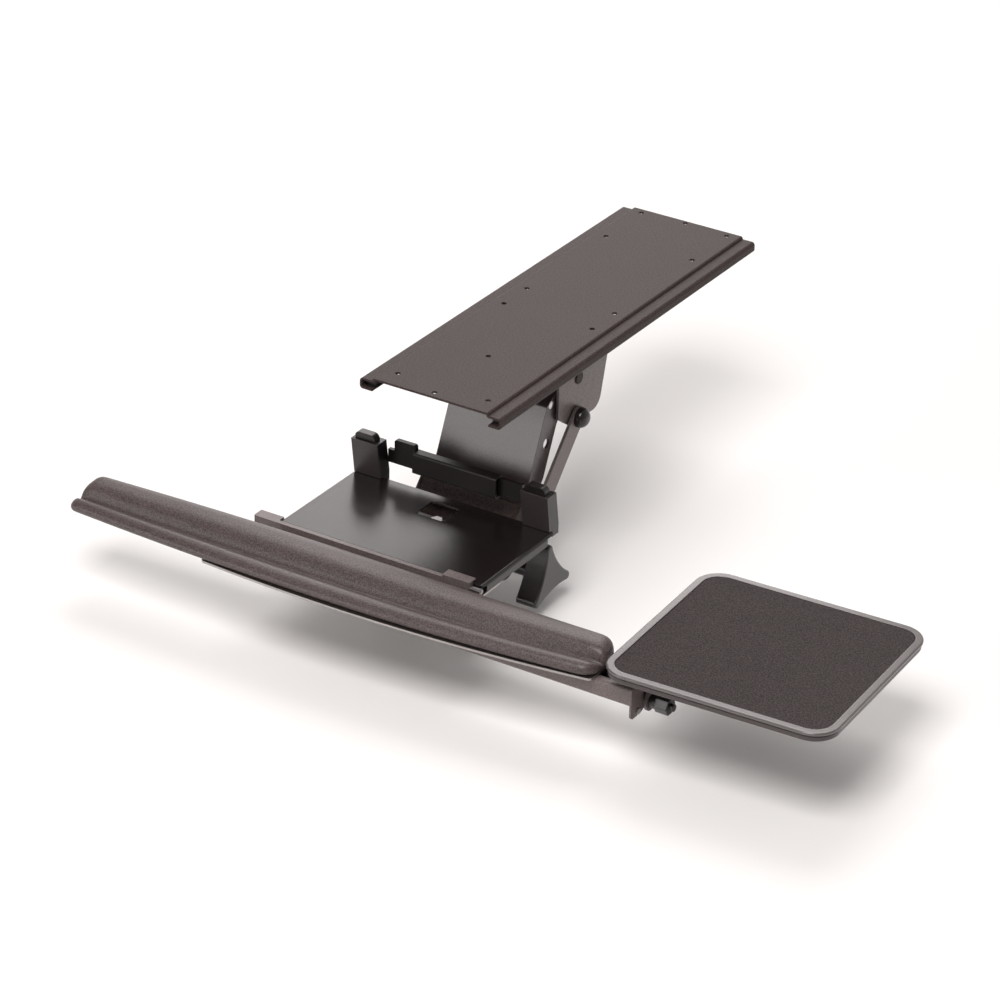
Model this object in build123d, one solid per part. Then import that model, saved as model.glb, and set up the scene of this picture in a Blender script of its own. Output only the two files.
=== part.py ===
"""Keyboard tray that hangs under a desk on a sliding track.

Millimetres. +X is the user's right, +Y runs from the user towards the wall and +Z is up.
The origin is the centre of the track's top face, which is screwed against the desk.
A folded steel carriage runs in the track and carries a swivelling bracket, a pair of
parallel arms, a tilting keyboard platform with a palm rest, and a sliding mouse tray.
"""

from build123d import *
import math
import os

os.makedirs("parts", exist_ok=True)

# Clearances and overruns
running_gap = 0.2
pin_gap = 0.08
open_pivot_gap = 0.4
soft_gap = 0.3
overrun = 5.0

# Track: one rolled sheet, a raised web with a C channel along each side
track_length = 451.0
track_width = 146.0
track_sheet = 2.0
channel_width = 14.1
channel_step = 2.6
channel_height = 10.4
channel_lip = 13.0
channel_bend = 1.2
screw_hole = 5.0
screw_spread = 93.4
screw_rows = (-204.7, -29.4, 10.2, 151.8, 217.8)
centre_screw_rows = (-217.9, -130.2, 220.9)
stop_length = 8.0
stop_inset = 10.0

# Carriage that slides in the track
carriage_place = -53.5
carriage_length = 110.0
carriage_sheet = 2.5
shoe_length = 24.0
shoe_depth = 9.5
washer_radius = 38.0
washer_thickness = 5.1
rivet_radius = 8.0
rivet_head_radius = 12.0
rivet_head = 3.0

# Swivelling bracket: a top plate folded down into two cheeks
bracket_sheet = 2.5
bracket_bend = 3.0
bracket_front = 41.5
bracket_back = 46.5
cheek_front_drop = 48.5
cheek_chamfer = 21.8
cheek_back_slope = 16.0
cheek_corner = 14.0
cheek_depth = 63.5

# Lift linkage, seen from the side
arm_pivot_ahead = 7.7
arm_pivot_drop = 34.0
arm_length = 127.0
arm_slope = 48.4
link_pivot_ahead = 4.3
link_pivot_drop = 36.5
tilt_axis_ahead = 30.0
tilt_axis_drop = 42.0

# Lift arm: a wide sheet with flanges, curled round the lower pivot rod
arm_width = 98.0
arm_sheet = 2.5
arm_face_slope = 66.5
arm_face_length = 92.0
arm_face_offset = 1.1
arm_rear_top = 78.0
arm_rear_base = 23.5
arm_shoulder_bend = 5.0
arm_flange = 25.4
arm_washer = 1.6
arm_shoulder = 30.0
arm_boss = 12.0
curl_radius = 7.0
curl_slit = 0.8
arm_hole = 10.0
arm_hole_share = 0.63
arm_hole_inset = 15.0
rod_radius = 4.0
arm_tube_radius = 7.5
rod_end_radius = 6.0
rod_end = 3.2
rod_flat_end = 1.3

# Side links and their pins
link_thickness = 3.0
link_width = 20.0
link_spacer = 1.5
link_pin_radius = 4.0
dome_radius = 9.5
dome_skirt = 1.6
spacer_radius = 8.5

# Tilt head: two cheeks joined by a web
head_boss = 10.0
tilt_boss = 17.0
head_web_sheet = 2.5
head_web_share = 0.4
head_web_start = 18.0
front_web_start = 32.0
tilt_bolt_radius = 4.0
friction_washer_radius = 13.0
friction_disc = 2.0

# Tilt knob with three concave sides
knob_reach = 33.0
knob_thickness = 20.5
knob_outer_place = 100.0
knob_tip_radius = 4.5
knob_waist = 15.0
knob_edge = 2.0
knob_hub_radius = 7.0
knob_turn = 8.0
knob_face_wall = 6.0

# Keyboard platform
platform_width = 211.0
platform_depth = 119.0
platform_sheet = 2.0
platform_flange = 8.7
platform_bend = 1.5
platform_corner = 5.0
flange_relief = 12.0
platform_above_axis = 49.7
platform_behind_axis = 7.0
window_width = 29.5
window_depth = 28.0
window_corner = 4.0
window_inset = 12.0
ear_sheet = 2.5
ear_boss = 14.0
ear_top_front = 34.0
strap_depth = 24.0
strap_drop = 12.0
strap_sheet = 2.5
bolt_head_radius = 5.5
bolt_head = 4.0
bolt_radius = 3.0
bolt_length = 12.0
bolt_aside = 3.3
bolt_ahead = 22.8

# Front rail along the platform's front edge, with a clip at its right end
rail_left = 130.0
rail_right = 91.5
rail_ahead = 5.0
rail_depth = 12.0
rail_sheet = 1.6
clip_width = 26.0
clip_sheet = 1.6
clip_slot = 2.6
clip_depth = 11.0
clip_rise = 3.3
clip_pin_radius = 2.9
clip_pin_length = 11.0
clip_pin_drop = 3.8

# Palm rest on its bowed base plate
palm_left = 274.0
palm_right = 256.0
palm_front_middle = 89.0
palm_front_ends = 68.0
palm_back = 24.0
palm_plate = 2.0
plate_left = 130.0
plate_edge = 1.0
pad_board_sheet = 2.0
pad_board_inset = 6.0
palm_back_corner = 14.0
palm_front_corner = 4.0
palm_plate_inset = 1.2
tongue_width = 211.0
tongue_depth = 40.0
standoff_radius = 6.0
standoff_spread = 140.0
standoff_behind = 24.0
palm_crown = 18.0
palm_pull = 16.0
pad_point_shares = (
    (0.02, 0.0),
    (0.0, 0.15),
    (0.03, 0.38),
    (0.10, 0.485),
    (0.20, 0.50),
    (0.33, 0.44),
    (0.46, 0.53),
    (0.57, 0.74),
    (0.70, 0.93),
    (0.82, 1.0),
    (0.92, 0.94),
    (0.995, 0.60),
    (0.985, 0.0),
)
pad_station_shares = (
    (-1.0, 0.42, 0.62),
    (-0.992, 0.62, 0.36),
    (-0.975, 0.8, 0.16),
    (-0.945, 0.92, 0.05),
    (-0.88, 0.98, 0.01),
    (-0.7, 1.0, 0.0),
    (-0.45, 1.0, 0.0),
    (-0.2, 1.0, 0.0),
    (0.0, 1.0, 0.0),
    (0.2, 1.0, 0.0),
    (0.45, 1.0, 0.0),
    (0.7, 1.0, 0.0),
    (0.88, 0.98, 0.01),
    (0.945, 0.92, 0.05),
    (0.975, 0.8, 0.16),
    (0.992, 0.62, 0.36),
    (1.0, 0.42, 0.62),
)

# Back stop: two towers on the rear edge and a telescoping strip between them
tower_width = 28.0
tower_depth = 15.0
tower_ahead = 4.5
tower_height = 44.3
tower_lean = 9.0
tower_left_place = 89.5
tower_right_place = 88.5
tower_jaw = 7.0
tower_jaw_width = 16.0
tower_jaw_thickness = 3.6
tower_post = 8.0
tower_post_width = 21.0
tower_corner = 5.0
tower_pad = 2.0
tower_pad_height = 36.5
strip_height = 20.6
strip_sheet = 1.4
strip_depth = 10.0
strip_left_end = 46.0
strip_right_end = 42.0
strip_drop = 12.0
strip_behind = 2.0
stop_arm_sheet = 4.0
stop_neck = 9.0
stop_neck_height = 5.0
left_arm_end = 20.0
right_arm_end = 15.0

# Mouse bar: a C channel that slides under the palm rest
bar_left = 120.0
bar_right = 290.5
bar_depth = 30.0
bar_height = 17.0
bar_sheet = 1.8
bar_lip = 7.0
bar_front = 62.0
bar_bend = 1.5
ear_drop = 12.0
ear_depth = 36.0
ear_tip = 16.0
ear_rear = 4.0
ear_tip_radius = 4.0
guide_length = 26.0
guide_body = 9.0
guide_places = (20.0, 140.0)
guide_screw_radius = 2.2
guide_screw_head_radius = 4.2
guide_screw_head = 2.2
stop_screw_radius = 3.0
stop_screw_ahead = 14.6
stop_screw_drop = 4.3
stop_screw_head = 2.0

# Mouse tray, its bracket and knob
mouse_axis_behind = 25.0
mouse_axis_drop = 20.0
mouse_bracket_sheet = 2.5
mouse_bracket_depth = 44.0
mouse_bracket_boss = 9.0
mouse_bracket_bend = 2.0
mouse_bolt_radius = 2.8
mouse_knob_radius = 8.0
mouse_knob_thickness = 12.0
mouse_knob_stub = 3.5
mouse_knob_stub_length = 4.0
swivel_post_radius = 14.0
swivel_post_reach = 39.5
swivel_post_behind = 23.0
swivel_boss = 6.6
swivel_pin_radius = 4.0
swivel_cap = 2.2
swivel_bore_share = 0.6
mouse_spacing = 2.4
mouse_spacer_radius = 6.0
mouse_collar = 6.3
tray_width = 211.5
tray_depth = 203.5
tray_corner = 24.0
tray_centre_x = 366.0
tray_centre_ahead = 27.6
tray_yaw = 2.4
tray_top_above = 9.3
tray_base_height = 4.6
tray_base_inset = 1.3
tray_bead_height = 3.4
tray_bead_width = 7.0
tray_bead_round = 1.4
tray_groove = 0.8
tray_pad_thickness = 2.4
tray_plate = 2.0


def place(shape, name):
    """Writes one piece to its own file."""
    shape.label = name
    export_step(shape, f"parts/{name}.step")
    return shape


def block(x_range, y_range, z_range):
    """A box between pairs of limits."""
    size = [high - low for low, high in (x_range, y_range, z_range)]
    middle = [(high + low) / 2 for low, high in (x_range, y_range, z_range)]
    return Pos(*middle) * Box(*size)


def rod_x(y, z, radius, x_range):
    """A round bar along X."""
    low, high = x_range
    return Pos((low + high) / 2, y, z) * Rot(0, 90, 0) * Cylinder(radius, high - low)


def rod_z(x, y, radius, z_range):
    """A round bar along Z."""
    low, high = z_range
    return Pos(x, y, (low + high) / 2) * Cylinder(radius, high - low)


def side_prism(face, x_range):
    """A face drawn in (y, z), pushed along X."""
    low, high = x_range
    return extrude(Plane.YZ.offset(low) * face, amount=high - low, dir=(1, 0, 0))


def end_prism(face, y_range):
    """A face drawn in (x, z), pushed along Y."""
    low, high = y_range
    return extrude(Plane.XZ.offset(-low) * face, amount=high - low, dir=(0, 1, 0))


def plan_prism(face, z_range):
    """A face drawn in (x, y), pushed along Z."""
    low, high = z_range
    return extrude(Plane.XY.offset(low) * face, amount=high - low, dir=(0, 0, 1))


def mirrored(shape):
    """The same piece on the other side of the centre plane."""
    return mirror(shape, about=Plane.YZ)


def both_sides(shape):
    return Compound(children=[shape, mirrored(shape)])


def shifted(points, offset):
    """The polyline moved sideways by an offset, with mitred corners."""
    moved = []
    for index, (x, y) in enumerate(points):
        sides = []
        for a, b in ((index - 1, index), (index, index + 1)):
            if a >= 0 and b < len(points):
                run = Vector(*points[b]) - Vector(*points[a])
                sides.append(Vector(-run.Y, run.X).normalized())
        normal = sides[0] + sides[-1]
        scale = 2 * offset / (normal.length**2)
        moved.append((x + normal.X * scale, y + normal.Y * scale))
    return moved


def folded(points, thickness, bend):
    """The section of a folded sheet: middle line, thickness and inner radius of each bend."""
    turns = []
    for before, here, after in zip(points, points[1:], points[2:]):
        first = Vector(*here) - Vector(*before)
        second = Vector(*after) - Vector(*here)
        turns.append(first.X * second.Y - first.Y * second.X)
    bends = bend if isinstance(bend, list) else [bend] * len(turns)
    sides = []
    for sign in (1, -1):
        radii = []
        for turn, inner in zip(turns, bends):
            radii.append(inner if turn * sign > 0 else inner + thickness)
        path = shifted(points, sign * thickness / 2)
        sides.append(FilletPolyline(*path, radius=radii))
    left, right = sides
    ends = [Line(left @ 0, right @ 0), Line(left @ 1, right @ 1)]
    return make_face(left.edges() + right.edges() + ends)


def nearest_corner(face, point):
    """The corner of a drawn face that lies nearest to a point."""
    return face.vertices().sort_by_distance(Vector(*point))[0]


def rounded_corners(face, points, radius):
    """The face with the corners at these points rounded."""
    for point in points:
        face = fillet(nearest_corner(face, point), radius)
    return face


def touching_point(point, centre, radius, side):
    """Where a straight edge from a point touches a circle, on the chosen side."""
    run = Vector(*point) - Vector(*centre)
    angle = math.degrees(math.acos(radius / run.length))
    turned = run.normalized().rotate(Axis.Z, side * angle) * radius
    return (centre[0] + turned.X, centre[1] + turned.Y)


def rounded_rectangle(width, depth, corner):
    return RectangleRounded(width, depth, corner)


# Heights and places that several pieces share
half_track = track_width / 2
web_half = half_track - channel_width
channel_top = -channel_step
channel_bottom = channel_top - channel_height
channel_roof = channel_top - track_sheet
channel_floor = channel_bottom + track_sheet
channel_wall = half_track - track_sheet
lip_edge = half_track - channel_lip
shoe_top = channel_roof - running_gap
shoe_bottom = channel_floor + running_gap
carriage_top = (shoe_top + shoe_bottom + carriage_sheet) / 2
carriage_bottom = carriage_top - carriage_sheet
washer_bottom = carriage_bottom - washer_thickness
bracket_top = washer_bottom - running_gap / 2
bracket_bottom = bracket_top - bracket_sheet
cheek_inner = arm_width / 2 + arm_washer
cheek_outer = cheek_inner + bracket_sheet
ear_place = cheek_inner - friction_disc - running_gap / 2

pivot_y = carriage_place - arm_pivot_ahead
pivot_z = -arm_pivot_drop
arm_cos = math.cos(math.radians(arm_slope))
arm_sin = math.sin(math.radians(arm_slope))
lower_y = pivot_y - arm_length * arm_cos
lower_z = pivot_z - arm_length * arm_sin
link_y = pivot_y - link_pivot_ahead
link_z = pivot_z - link_pivot_drop
open_y = lower_y - link_pivot_ahead
open_z = lower_z - link_pivot_drop
tilt_y = lower_y - tilt_axis_ahead
tilt_z = lower_z - tilt_axis_drop
link_inner = cheek_outer + link_spacer
link_outer = link_inner + link_thickness

platform_top = tilt_z + platform_above_axis
platform_under = platform_top - platform_sheet
platform_rear = tilt_y - platform_behind_axis
platform_front = platform_rear - platform_depth
half_platform = platform_width / 2
plate_top = platform_top - platform_flange
plate_bottom = plate_top - palm_plate
rail_front_y = platform_front - rail_ahead
rail_back_y = rail_front_y + rail_depth
clip_top = platform_top + clip_rise
pin_y = platform_front - running_gap - clip_pin_radius
pin_z = platform_top - clip_pin_drop


# Track rail

def track_rail():
    """Raised web, a step down to each side strip, an outer wall and an inward lip."""
    mid = track_sheet / 2
    half = [
        (web_half, -mid),
        (web_half, channel_top - mid),
        (half_track - mid, channel_top - mid),
        (half_track - mid, channel_bottom + mid),
        (lip_edge, channel_bottom + mid),
    ]
    other = [(-x, z) for x, z in reversed(half)]
    crease = channel_bend / 5
    bends = [channel_bend, channel_bend, crease, crease]
    section = folded(other + half, track_sheet, bends + bends[::-1])
    rail = end_prism(section, (-track_length / 2, track_length / 2))
    places = [(side * screw_spread / 2, y) for y in screw_rows for side in (-1, 1)]
    places += [(0, y) for y in centre_screw_rows]
    for x, y in places:
        rail -= rod_z(x, y, screw_hole / 2, (-track_sheet - overrun, overrun))
    return rail


def track_stops():
    """Four moulded plugs, pressed into the channels near their ends."""
    outer = block(
        (lip_edge, channel_wall),
        (-stop_length / 2, stop_length / 2),
        (channel_floor, channel_roof),
    )
    outer = chamfer(outer.edges().filter_by(Axis.Y), channel_bend)
    nose = fillet(outer.edges().filter_by(Axis.Z), stop_length / 8)
    reach = track_length / 2 - stop_inset
    plugs = [Pos(0, side * reach, 0) * nose for side in (-1, 1)]
    return Compound(children=plugs + [mirrored(plug) for plug in plugs])


# Carriage

carriage_half = channel_wall - running_gap - carriage_sheet


def carriage_plate():
    """Flat plate that runs between the two channels."""
    plate = block(
        (-carriage_half, carriage_half),
        (carriage_place - carriage_length / 2, carriage_place + carriage_length / 2),
        (carriage_bottom, carriage_top),
    )
    plate = fillet(plate.edges().filter_by(Axis.Z), carriage_sheet * 2)
    bore = rivet_radius
    return plate - rod_z(0, carriage_place, bore, (carriage_bottom, carriage_top))


def glide_shoes():
    """Four nylon shoes that clip over the plate's corners and run in the channels."""
    shoe = block(
        (channel_wall - running_gap - shoe_depth, channel_wall - running_gap),
        (-shoe_length / 2, shoe_length / 2),
        (shoe_bottom, shoe_top),
    )
    shoe = chamfer(shoe.edges().filter_by(Axis.Y), channel_bend)
    shoe -= block(
        (-carriage_half, carriage_half),
        (-shoe_length, shoe_length),
        (carriage_bottom, carriage_top),
    )
    reach = carriage_length / 2 - shoe_length
    shoes = [Pos(0, carriage_place + side * reach, 0) * shoe for side in (-1, 1)]
    return Compound(children=shoes + [mirrored(item) for item in shoes])


def swivel_washer():
    """Wide nylon disc that spaces the bracket below the track."""
    ring = rod_z(0, carriage_place, washer_radius, (washer_bottom, carriage_bottom))
    return ring - rod_z(0, carriage_place, rivet_radius, (washer_bottom, carriage_bottom))


def swivel_rivet():
    """Headed pivot through plate, disc and bracket."""
    shank_end = bracket_bottom - running_gap / 2
    head_top = carriage_top + rivet_head
    peen_end = shank_end - rivet_head
    shank = rod_z(0, carriage_place, rivet_radius, (shank_end, carriage_top))
    head = rod_z(0, carriage_place, rivet_head_radius, (carriage_top, head_top))
    peen = rod_z(0, carriage_place, rivet_head_radius, (peen_end, shank_end))
    head = chamfer(head.faces().sort_by(Axis.Z)[-1].edges(), rivet_head / 2)
    peen = fillet(peen.faces().sort_by(Axis.Z)[0].edges(), rivet_head / 2)
    return shank + head + peen


# Swivelling bracket

bracket_front_y = carriage_place - bracket_front
bracket_back_y = carriage_place + bracket_back


def bracket_outline():
    """Side view: upright front edge, cut front corner, rounded and sloping back."""
    base = bracket_top - cheek_depth
    points = [
        (bracket_front_y, bracket_top),
        (bracket_front_y, bracket_top - cheek_front_drop),
        (bracket_front_y + cheek_chamfer, base),
        (bracket_back_y - cheek_back_slope, base),
        (bracket_back_y, bracket_top),
    ]
    face = make_face(Polyline(*points, close=True))
    face = rounded_corners(face, points[3:4], cheek_corner)
    return rounded_corners(face, points[1:3], bracket_sheet * 2)


def swivel_bracket():
    mid = bracket_sheet / 2
    wall = cheek_inner + mid
    base = bracket_top - cheek_depth
    section = folded(
        [(-wall, base), (-wall, bracket_top - mid), (wall, bracket_top - mid), (wall, base)],
        bracket_sheet,
        bracket_bend,
    )
    body = end_prism(section, (bracket_front_y, bracket_back_y))
    body &= side_prism(bracket_outline(), (-cheek_outer, cheek_outer))
    bore = rivet_radius + pin_gap
    body -= rod_z(0, carriage_place, bore, (bracket_bottom - overrun, bracket_top + overrun))
    body -= rod_x(pivot_y, pivot_z, rod_radius, (-cheek_outer, cheek_outer))
    body -= rod_x(link_y, link_z, link_pin_radius, (-cheek_outer, cheek_outer))
    return body


def headed_rod(y, z):
    """A pivot rod through both sides, with a thin flat head peened on each end."""
    rod = rod_x(y, z, rod_radius, (-cheek_outer, cheek_outer))
    cap = rod_x(y, z, rod_end_radius, (cheek_outer, cheek_outer + rod_flat_end))
    cap = fillet(cap.faces().sort_by(Axis.X)[-1].edges(), rod_flat_end / 2)
    return rod + cap + mirrored(cap)


def link_pin_set(y, z):
    """A pin through each cheek, its head inside and its end under the dome cap."""
    head_inner = cheek_inner - running_gap - bracket_sheet / 2
    pin = rod_x(y, z, link_pin_radius, (head_inner, link_outer + dome_skirt))
    head = rod_x(y, z, link_pin_radius * 1.5, (head_inner, cheek_inner))
    return both_sides(pin + head)


def link_spacer_set(y, z):
    """Black bushes that hold the links out from the cheeks."""
    ring = rod_x(y, z, spacer_radius, (cheek_outer, link_inner - running_gap / 2))
    ring -= rod_x(y, z, link_pin_radius, (cheek_inner, link_outer))
    return both_sides(ring)


def dome_cap_set(y, z):
    """Smooth black dome caps pushed over the pin ends."""
    seat = link_outer + running_gap / 2
    dome = rod_x(y, z, dome_radius, (seat, seat + dome_radius))
    dome = fillet(dome.faces().sort_by(Axis.X)[-1].edges(), dome_radius - dome_skirt)
    return both_sides(dome - rod_x(y, z, link_pin_radius, (seat, link_outer + dome_skirt)))


# Lift arm

face_cos = math.cos(math.radians(arm_face_slope))
face_sin = math.sin(math.radians(arm_face_slope))


def along_arm(up, back):
    """A point of the side view, measured from the lower pivot up the face and behind it."""
    return (
        lower_y + up * face_cos + back * face_sin,
        lower_z + up * face_sin - back * face_cos,
    )


def arm_outline():
    """Side view: straight face, shoulder, a boss round each pivot and a cut-back rear."""
    upper = (pivot_y, pivot_z)
    lower = (lower_y, lower_z)
    corner = along_arm(arm_face_length, arm_face_offset)
    rear_top = along_arm(arm_rear_top, arm_face_offset + arm_flange)
    rear_base = along_arm(arm_rear_base, arm_face_offset + arm_flange)
    points = [
        along_arm(0, arm_face_offset),
        corner,
        touching_point(corner, upper, arm_boss, -1),
        upper,
        touching_point(rear_top, upper, arm_boss, 1),
        rear_top,
        rear_base,
        touching_point(rear_base, lower, curl_radius, -1),
        lower,
    ]
    face = make_face(Polyline(*points, close=True))
    face = rounded_corners(face, [rear_top, rear_base], arm_boss)
    face = rounded_corners(face, [corner], arm_shoulder_bend)
    return face + Pos(*upper) * Circle(arm_boss)


def arm_hollow():
    """Side view of what is open: behind the web and beyond the end of the shoulder."""
    skin = arm_face_offset + arm_sheet
    corner = Vector(*along_arm(arm_face_length, arm_face_offset))
    touch = touching_point((corner.X, corner.Y), (pivot_y, pivot_z), arm_boss, -1)
    reach = (Vector(*touch) - corner).normalized()
    inward = Vector(reach.Y, -reach.X)
    turn = math.radians(arm_face_slope) - math.atan2(reach.Y, reach.X)
    inner_up = arm_face_length - arm_sheet * math.tan(turn / 2)
    stop = corner + reach * arm_shoulder
    inner_stop = stop + inward * arm_sheet
    outer_stop = stop - inward * overrun
    beyond = outer_stop + reach * arm_length
    points = [
        along_arm(-arm_face_length, skin),
        along_arm(inner_up, skin),
        (inner_stop.X, inner_stop.Y),
        (outer_stop.X, outer_stop.Y),
        (beyond.X, beyond.Y),
        along_arm(-arm_face_length, arm_length),
    ]
    return make_face(Polyline(*points, close=True))


def arm_plate():
    """Channel folded from one sheet, its lower end curled round the pivot rod."""
    half = arm_width / 2
    whole = (-half, half)
    past = (-half - overrun, half + overrun)
    body = side_prism(arm_outline(), whole)
    body -= side_prism(arm_hollow(), (arm_sheet - half, half - arm_sheet))
    body += rod_x(lower_y, lower_z, curl_radius, whole)
    body -= rod_x(lower_y, lower_z, rod_radius + pin_gap, past)
    slit_points = [
        along_arm(rod_radius / 2, arm_face_offset - curl_slit),
        along_arm(rod_radius / 2, arm_face_offset),
        along_arm(2 * curl_radius, arm_face_offset),
        along_arm(2 * curl_radius, arm_face_offset - curl_slit),
    ]
    body -= side_prism(make_face(Polyline(*slit_points, close=True)), past)
    body -= rod_x(pivot_y, pivot_z, arm_tube_radius, past)
    hole_y, hole_z = along_arm(arm_face_length * arm_hole_share, arm_face_offset + arm_hole_inset)
    return body - rod_x(hole_y, hole_z, arm_hole / 2, past)


def arm_tube():
    """Tube welded through both flanges, which turns on the upper rod."""
    half = arm_width / 2
    tube = rod_x(pivot_y, pivot_z, arm_tube_radius, (-half, half))
    return tube - rod_x(pivot_y, pivot_z, rod_radius + pin_gap, (-arm_width, arm_width))


def washer_pair(y, z, radius, bore, x_range):
    ring = rod_x(y, z, radius, x_range) - rod_x(y, z, bore, (-arm_width, arm_width))
    return both_sides(ring)


# Side links

def side_link():
    """Flat bar between the outer pivots, parallel to the line of the arm's pivots."""
    middle_y = (link_y + open_y) / 2
    middle_z = (link_z + open_z) / 2
    bar = Pos(middle_y, middle_z) * Rot(0, 0, arm_slope) * SlotCenterToCenter(arm_length, link_width)
    body = side_prism(bar, (link_inner, link_outer))
    body -= rod_x(link_y, link_z, link_pin_radius + pin_gap, (cheek_outer, 2 * link_outer))
    body -= rod_x(open_y, open_z, link_pin_radius + open_pivot_gap, (cheek_outer, 2 * link_outer))
    return body


# Tilt head

def head_outline():
    """Side view: a boss at each of the three pivots, joined by straight edges."""
    bosses = [
        Pos(lower_y, lower_z) * Circle(head_boss),
        Pos(open_y, open_z) * Circle(head_boss),
        Pos(tilt_y, tilt_z) * Circle(tilt_boss),
    ]
    edges = [edge for boss in bosses for edge in boss.edges()]
    return make_hull(edges)


def head_web(start_along, end_along, offset):
    """A sheet between the cheeks, beside the line from the tilt axis to the arm's pivot."""
    along = Vector(lower_y - tilt_y, lower_z - tilt_z).normalized()
    outward = Vector(along.Y, -along.X)
    start = Vector(tilt_y, tilt_z) + outward * offset + along * start_along
    finish = start + along * (end_along - start_along)
    thick = outward * head_web_sheet
    corners = [start, finish, finish + thick, start + thick]
    web = make_face(Polyline(*[(point.X, point.Y) for point in corners], close=True))
    return side_prism(web, (-cheek_inner, cheek_inner))


def tilt_head():
    """Two cheeks with a web between them at the rear and one under the arm's rolled end."""
    cheek = side_prism(head_outline(), (cheek_inner, cheek_outer))
    run = Vector(lower_y - tilt_y, lower_z - tilt_z).length
    body = cheek + mirrored(cheek)
    rear_end = head_web_start + run * head_web_share
    body += head_web(head_web_start, rear_end, head_boss - head_web_sheet)
    body += head_web(front_web_start, run, -head_boss)
    across = (-cheek_outer, cheek_outer)
    body -= rod_x(lower_y, lower_z, rod_radius, across)
    body -= rod_x(open_y, open_z, link_pin_radius, across)
    return body - rod_x(tilt_y, tilt_z, tilt_bolt_radius, across)


knob_inner_place = knob_outer_place - knob_thickness


def tilt_bolt():
    """Long bolt through head and platform ears, its round head on the left."""
    end = knob_outer_place - knob_face_wall - knob_edge
    bolt = rod_x(tilt_y, tilt_z, tilt_bolt_radius, (-cheek_outer, end))
    head = rod_x(tilt_y, tilt_z, knob_hub_radius, (-cheek_outer - rod_end, -cheek_outer))
    return bolt + fillet(head.faces().sort_by(Axis.X)[0].edges(), rod_end / 2)


def knob_profile():
    """Three rounded tips joined by concave flanks."""
    tips = []
    for index in range(3):
        tips.append(Vector(0, 1).rotate(Axis.Z, knob_turn + index * 120))
    edges = []
    for tip, after in zip(tips, tips[1:] + tips[:1]):
        side = tip.rotate(Axis.Z, 90) * knob_tip_radius
        reach = tip * (knob_reach - knob_tip_radius)
        next_side = after.rotate(Axis.Z, 90) * knob_tip_radius
        finish = after * (knob_reach - knob_tip_radius) - next_side
        middle = (tip + after).normalized() * knob_waist
        edges.append(ThreePointArc(reach - side, tip * knob_reach, reach + side))
        edges.append(ThreePointArc(reach + side, middle, finish))
    face = make_face(edges)
    return fillet(face.vertices(), knob_tip_radius)


def tilt_knob():
    profile = Pos(tilt_y, tilt_z) * knob_profile()
    body = side_prism(profile, (knob_inner_place, knob_outer_place))
    body = fillet(body.faces().sort_by(Axis.X)[-1].edges(), knob_edge)
    hub_start = link_inner + knob_face_wall
    body += rod_x(tilt_y, tilt_z, knob_hub_radius, (hub_start, knob_inner_place))
    bore = tilt_bolt_radius + pin_gap
    body -= rod_x(tilt_y, tilt_z, bore, (cheek_outer, knob_outer_place - knob_face_wall))
    return body


# Keyboard platform

def platform_plate():
    """Shallow pan: flat top with turned-down sides, plain at the front and the rear."""
    mid = platform_sheet / 2
    wall = half_platform - mid
    low = platform_top - platform_flange
    section = folded(
        [(-wall, low), (-wall, platform_top - mid), (wall, platform_top - mid), (wall, low)],
        platform_sheet,
        platform_bend,
    )
    pan = end_prism(section, (platform_front, platform_rear))
    for y_range in (
        (platform_front, rail_back_y + running_gap),
        (platform_rear - flange_relief, platform_rear),
    ):
        pan -= block(
            (-half_platform, half_platform),
            y_range,
            (low, platform_under),
        )
    centre_y = (platform_front + platform_rear) / 2
    outline = Pos(0, centre_y) * rounded_rectangle(platform_width, platform_depth, platform_corner)
    pan &= plan_prism(outline, (low, platform_top))
    window_y = platform_rear - window_inset - window_depth / 2
    window = Pos(0, window_y) * rounded_rectangle(window_width, window_depth, window_corner)
    return pan - plan_prism(window, (platform_under, platform_top))


def platform_ear():
    """Upright plate from the platform's underside to the tilt axis."""
    ear_front = platform_rear - ear_top_front
    front = (ear_front, platform_under)
    rear = (platform_rear - ear_sheet, platform_under)
    centre = (tilt_y, tilt_z)
    points = [
        front,
        rear,
        touching_point(rear, centre, ear_boss, -1),
        centre,
        touching_point(front, centre, ear_boss, 1),
    ]
    face = make_face(Polyline(*points, close=True)) + Pos(*centre) * Circle(ear_boss)
    ear = side_prism(face, (ear_place - ear_sheet, ear_place))
    return ear - rod_x(tilt_y, tilt_z, tilt_bolt_radius + pin_gap, (0, link_outer))


bolt_place = (-bolt_aside, platform_rear - bolt_ahead)


strap_top = platform_under - strap_drop
strap_middle = platform_rear - window_inset - window_depth / 2


def cross_strap():
    """Flat strap between the ears, seen through the platform's window."""
    inner = ear_place - ear_sheet
    strap = block(
        (-inner, inner),
        (strap_middle - strap_depth / 2, strap_middle + strap_depth / 2),
        (strap_top - strap_sheet, strap_top),
    )
    return strap - rod_z(*bolt_place, bolt_radius, (strap_top - bolt_length, strap_top))


def strap_bolt():
    """Hexagon bolt and nut through the strap."""
    base = strap_top - strap_sheet
    six = Pos(*bolt_place) * RegularPolygon(bolt_head_radius, 6)
    head = plan_prism(six, (strap_top, strap_top + bolt_head))
    nut = plan_prism(six, (base - bolt_head, base))
    shank = rod_z(*bolt_place, bolt_radius, (strap_top - bolt_length, strap_top))
    return head + shank + nut


# Front rail and its clip

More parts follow.
